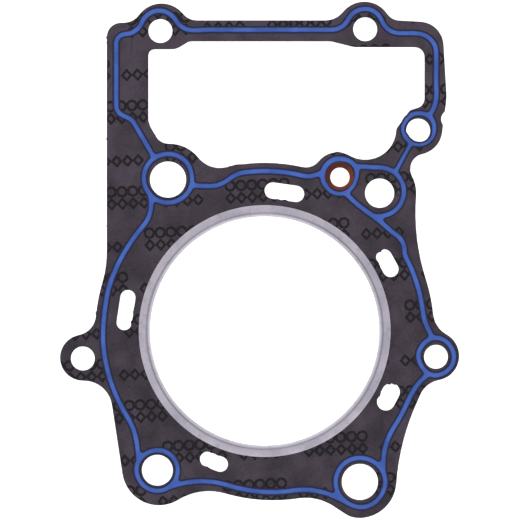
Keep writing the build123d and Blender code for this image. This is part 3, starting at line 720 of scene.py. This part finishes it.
class GASKET_OT_fire_ring(bpy.types.Operator):
    """Make the folded steel ring that grips the sheet at the cylinder"""

    bl_idname = "gasket.fire_ring"
    bl_label = "Steel ring"

    def execute(self, context):
        settings = context.scene.gasket_ring
        centre = (ring_low + ring_high) / 2
        bore = smallest_radius("fire_ring", centre)
        rim = ring_high.x - centre.x
        top = ring_high.z
        crease = bore + settings.lip_width
        flange = crease + settings.crease_width
        middle = (flange + crease) / 2
        lip_top = top - settings.crease_depth / 3
        wall = settings.wall_height / 2
        stock = settings.stock
        inner_top = top - stock
        corner = stock / 4
        ease, dip = 0.15 * MM, 0.01 * MM        # how softly flange and lip turn into the crease
        shoulder = crease - ease

        # Half of the section's outside from the rim to the bore, then its inside back to the fold
        outer = [(rim, inner_top)]
        outer += arc((rim - corner, top - corner), (corner, corner), 0, 90, 3)
        outer += [(flange + ease, top), (flange, top - dip), (middle, top - settings.crease_depth)]
        outer += arc((shoulder, wall), (shoulder - bore, lip_top - wall), 75, 180, 12)
        inner = [(bore + stock, wall), (middle, inner_top - settings.crease_depth),
                 (flange, inner_top)]
        section = outer + [(r, -z) for r, z in reversed(outer)]
        section += [(r, -z) for r, z in reversed(inner)] + inner
        mesh = lathe("steel_fire_ring", centre, section, RING_STEPS)
        material = tinned_steel(settings, centre / MM, (bore + crease) / 2 / MM, middle / MM)
        piece = placed("steel_fire_ring", mesh, material, smooth_angle=35)
        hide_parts("fire_ring")
        return {"FINISHED"}


class GASKET_OT_beads(bpy.types.Operator):
    """Make the printed sealing beads on both faces of the sheet"""

    bl_idname = "gasket.beads"
    bl_label = "Sealing beads"

    def execute(self, context):
        settings = context.scene.gasket_bead
        foot, height = bead_low.z, bead_high.z - bead_low.z
        waver_length = 3 * MM
        sunk = 0.05                     # of the height, by which the bead is pressed into the sheet

        # The ink keeps off the cut edges, but runs up against the seal
        cuts = [spot for loop in outlines("gasket_sheet", sheet_high.z)
                for spot in even_points(loop, settings.edge_step)
                if (spot - seal_middle).length > seat_reach]
        near_cut = kdtree.KDTree(len(cuts))
        for index, spot in enumerate(cuts):
            near_cut.insert((spot.x, spot.y, 0), index)
        near_cut.balance()

        def drifted(point):
            drift = Vector((0, 0))
            for (x, y), reach, (right, up) in PRINT_DRIFTS.values():
                near = 1 - (hypot(point.x - x * MM, point.y - y * MM) / (reach * MM)) ** 2
                if near > 0:
                    drift += near ** 2 * MM * Vector((right, up))
            to_cut = near_cut.find((point.x, point.y, 0))[0].to_2d() - point
            room = max(to_cut.length - settings.margin, 0)
            over = drift.dot(to_cut.normalized()) - room
            return point + drift - max(over, 0) * to_cut.normalized()

        def run_out(point):
            spot = Vector((point.x, point.y, 0))
            reach = settings.spread + settings.waver * noise.noise(spot / waver_length)
            room = near_cut.find(spot)[2] - settings.margin
            return min(reach, max(room, 0))

        loops = []
        for loop in outlines("upper_sealing_bead", bead_high.z):
            edge = smoothed(even_points(loop, settings.edge_step))
            edge = seated(edge, context.scene.gasket_seal.rim_shift)
            loops.append(pushed([drifted(point) for point in edge], run_out))
        material = printed_silicone(settings, foot / MM, bead_high.z / MM)
        for name, side in (("upper_printed_bead", 1), ("lower_printed_bead", -1)):
            mesh = filled_sheet(name, loops, settings.shoulder, settings.shoulder)
            for vertex in mesh.vertices:
                share = vertex.co.z / settings.shoulder
                vertex.co.z = side * (foot + height * (share if share > 0 else sunk * share))
            placed(name, mesh, material, smooth_angle=60)
        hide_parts("upper_sealing_bead")
        return {"FINISHED"}


class GASKET_OT_oil_seal(bpy.types.Operator):
    """Make the moulded seal ring in the oil hole"""

    bl_idname = "gasket.oil_seal"
    bl_label = "Oil seal"

    def execute(self, context):
        settings = context.scene.gasket_seal
        centre = (seal_low + seal_high) / 2
        hole = smallest_radius("oil_passage_seal", centre)
        rim = seal_high.x - centre.x
        top = seal_high.z
        edge = settings.edge_round
        section = arc((rim - edge / 2, top - edge / 2), (edge / 2, edge / 2), 0, 90, 5)
        section += arc((hole + edge, top - edge), (edge, edge), 90, 180, 8)
        section += [(r, -z) for r, z in reversed(section)]
        mesh = lathe("elastomer_oil_seal", centre, section, SEAL_STEPS)
        for vertex in mesh.vertices:
            outward = ((vertex.co - centre).to_2d().length - hole) / (rim - hole)
            vertex.co += outward * Vector((*settings.rim_shift, 0))
        material = moulded_elastomer(settings, centre)
        piece = placed("elastomer_oil_seal", mesh, material, smooth_angle=40)
        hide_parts("oil_passage_seal")
        return {"FINISHED"}


class GASKET_OT_stage(bpy.types.Operator):
    """Make the floor, the lamps, the world and the camera straight above"""

    bl_idname = "gasket.stage"
    bl_label = "Stage"

    def execute(self, context):
        settings = context.scene.gasket_stage
        scene = context.scene
        scene.view_settings.view_transform = "Standard"
        x, y = settings.view_centre

        lens = bpy.data.cameras.new("camera")
        lens.lens = settings.focal_length
        distance = settings.view_width * lens.lens / lens.sensor_width
        lens.clip_start, lens.clip_end = distance / 100, distance * 10
        camera = bpy.data.objects.new("camera", lens)
        camera.location = (x, y, sheet_high.z + distance)
        scene.collection.objects.link(camera)
        scene.camera = camera

        # Name, place and width in metres, and power
        lamps = (
            ("far_lamp", (x - 0.1, y + 0.7, 0.75), 0.8, settings.end_power),
            ("near_lamp", (x + 0.1, y - 0.7, 0.75), 0.8, settings.end_power),
            ("left_lamp", (x - 0.8, y, 0.5), 0.5, settings.side_power),
            ("right_lamp", (x + 0.8, y, 0.5), 0.5, settings.side_power),
        )
        for name, place, size, power in lamps:
            light = bpy.data.lights.new(name, "AREA")
            light.shape = "DISK"
            light.size = size
            light.energy = power
            lamp = bpy.data.objects.new(name, light)
            lamp.location = place
            aim = Vector((x, y, 0)) - lamp.location
            lamp.rotation_euler = aim.to_track_quat("-Z", "Y").to_euler()
            scene.collection.objects.link(lamp)

        # Even white light from all round, and pure white behind the gasket
        world = bpy.data.worlds.new("white_room")
        world.use_nodes = True
        scene.world = world
        tree = world.node_tree
        tree.nodes.clear()
        seen = self.seen(tree)
        strength = add(tree, "ShaderNodeMapRange", {
            "Value": seen, "To Min": settings.world_strength, "To Max": 1.0})
        background = add(tree, "ShaderNodeBackground", {
            "Color": linear("FFFFFF"), "Strength": strength.outputs[0]})
        add(tree, "ShaderNodeOutputWorld", {"Surface": background.outputs[0]})

        # White paper under the gasket, which glows only where it is looked at
        mesh = bpy.data.meshes.new("floor")
        half = 1.5                      # metres
        corners = [(-half, -half), (half, -half), (half, half), (-half, half)]
        ground = ring_low.z - settings.floor_gap
        mesh.from_pydata([(x + a, y + b, ground) for a, b in corners], [], [(0, 1, 2, 3)])
        floor = bpy.data.objects.new("floor", mesh)
        scene.collection.objects.link(floor)
        material = bpy.data.materials.new("white_paper")
        material.use_nodes = True
        tree = material.node_tree
        tree.nodes.clear()
        paper = add(tree, "ShaderNodeBsdfDiffuse", {"Color": linear("E6E6E6")})
        glow = add(tree, "ShaderNodeEmission", {"Color": linear("FFFFFF"), "Strength": 0.9})
        lit = add(tree, "ShaderNodeAddShader", {0: paper.outputs[0], 1: glow.outputs[0]})
        shown = add(tree, "ShaderNodeMixShader", {
            0: self.seen(tree), 1: paper.outputs[0], 2: lit.outputs[0]})
        add(tree, "ShaderNodeOutputMaterial", {"Surface": shown.outputs[0]})
        mesh.materials.append(material)
        return {"FINISHED"}

    def seen(self, tree):
        """Whether a ray comes from the camera, a reflection or through glass."""
        ray = add(tree, "ShaderNodeLightPath").outputs
        first = add(tree, "ShaderNodeMath", {
            0: ray["Is Camera Ray"], 1: ray["Is Glossy Ray"]}, operation="MAXIMUM")
        both = add(tree, "ShaderNodeMath", {
            0: first.outputs[0], 1: ray["Is Transmission Ray"]}, operation="MAXIMUM")
        return both.outputs[0]


class GASKET_PT_panel(bpy.types.Panel):
    """Lists the gasket's pieces"""

    bl_label = "Cylinder head gasket"
    bl_idname = "GASKET_PT_panel"
    bl_space_type = "VIEW_3D"
    bl_region_type = "UI"
    bl_category = "Gasket"

    def draw(self, context):
        for settings, operator in SECTIONS:
            box = self.layout.box()
            group = getattr(context.scene, settings)
            for name in group.bl_rna.properties.keys():
                if name not in ("rna_type", "name"):
                    box.prop(group, name)
            box.operator(operator)


SECTIONS = (
    ("gasket_sheet", "gasket.sheet"),
    ("gasket_ring", "gasket.fire_ring"),
    ("gasket_bead", "gasket.beads"),
    ("gasket_seal", "gasket.oil_seal"),
    ("gasket_stage", "gasket.stage"),
)
SETTINGS = {
    "gasket_sheet": SheetSettings,
    "gasket_ring": RingSettings,
    "gasket_bead": BeadSettings,
    "gasket_seal": SealSettings,
    "gasket_stage": StageSettings,
}
CLASSES = (
    *SETTINGS.values(),
    GASKET_OT_sheet,
    GASKET_OT_fire_ring,
    GASKET_OT_beads,
    GASKET_OT_oil_seal,
    GASKET_OT_stage,
    GASKET_PT_panel,
)


def register():
    for cls in CLASSES:
        bpy.utils.register_class(cls)
    for name, group in SETTINGS.items():
        setattr(bpy.types.Scene, name, bpy.props.PointerProperty(type=group))


def unregister():
    for name in SETTINGS:
        delattr(bpy.types.Scene, name)
    for cls in reversed(CLASSES):
        bpy.utils.unregister_class(cls)


def main():
    register()
    bpy.ops.gasket.sheet()
    bpy.ops.gasket.fire_ring()
    bpy.ops.gasket.beads()
    bpy.ops.gasket.oil_seal()
    bpy.ops.gasket.stage()
    bpy.context.view_layer.update()


if __name__ == "__main__":
    main()
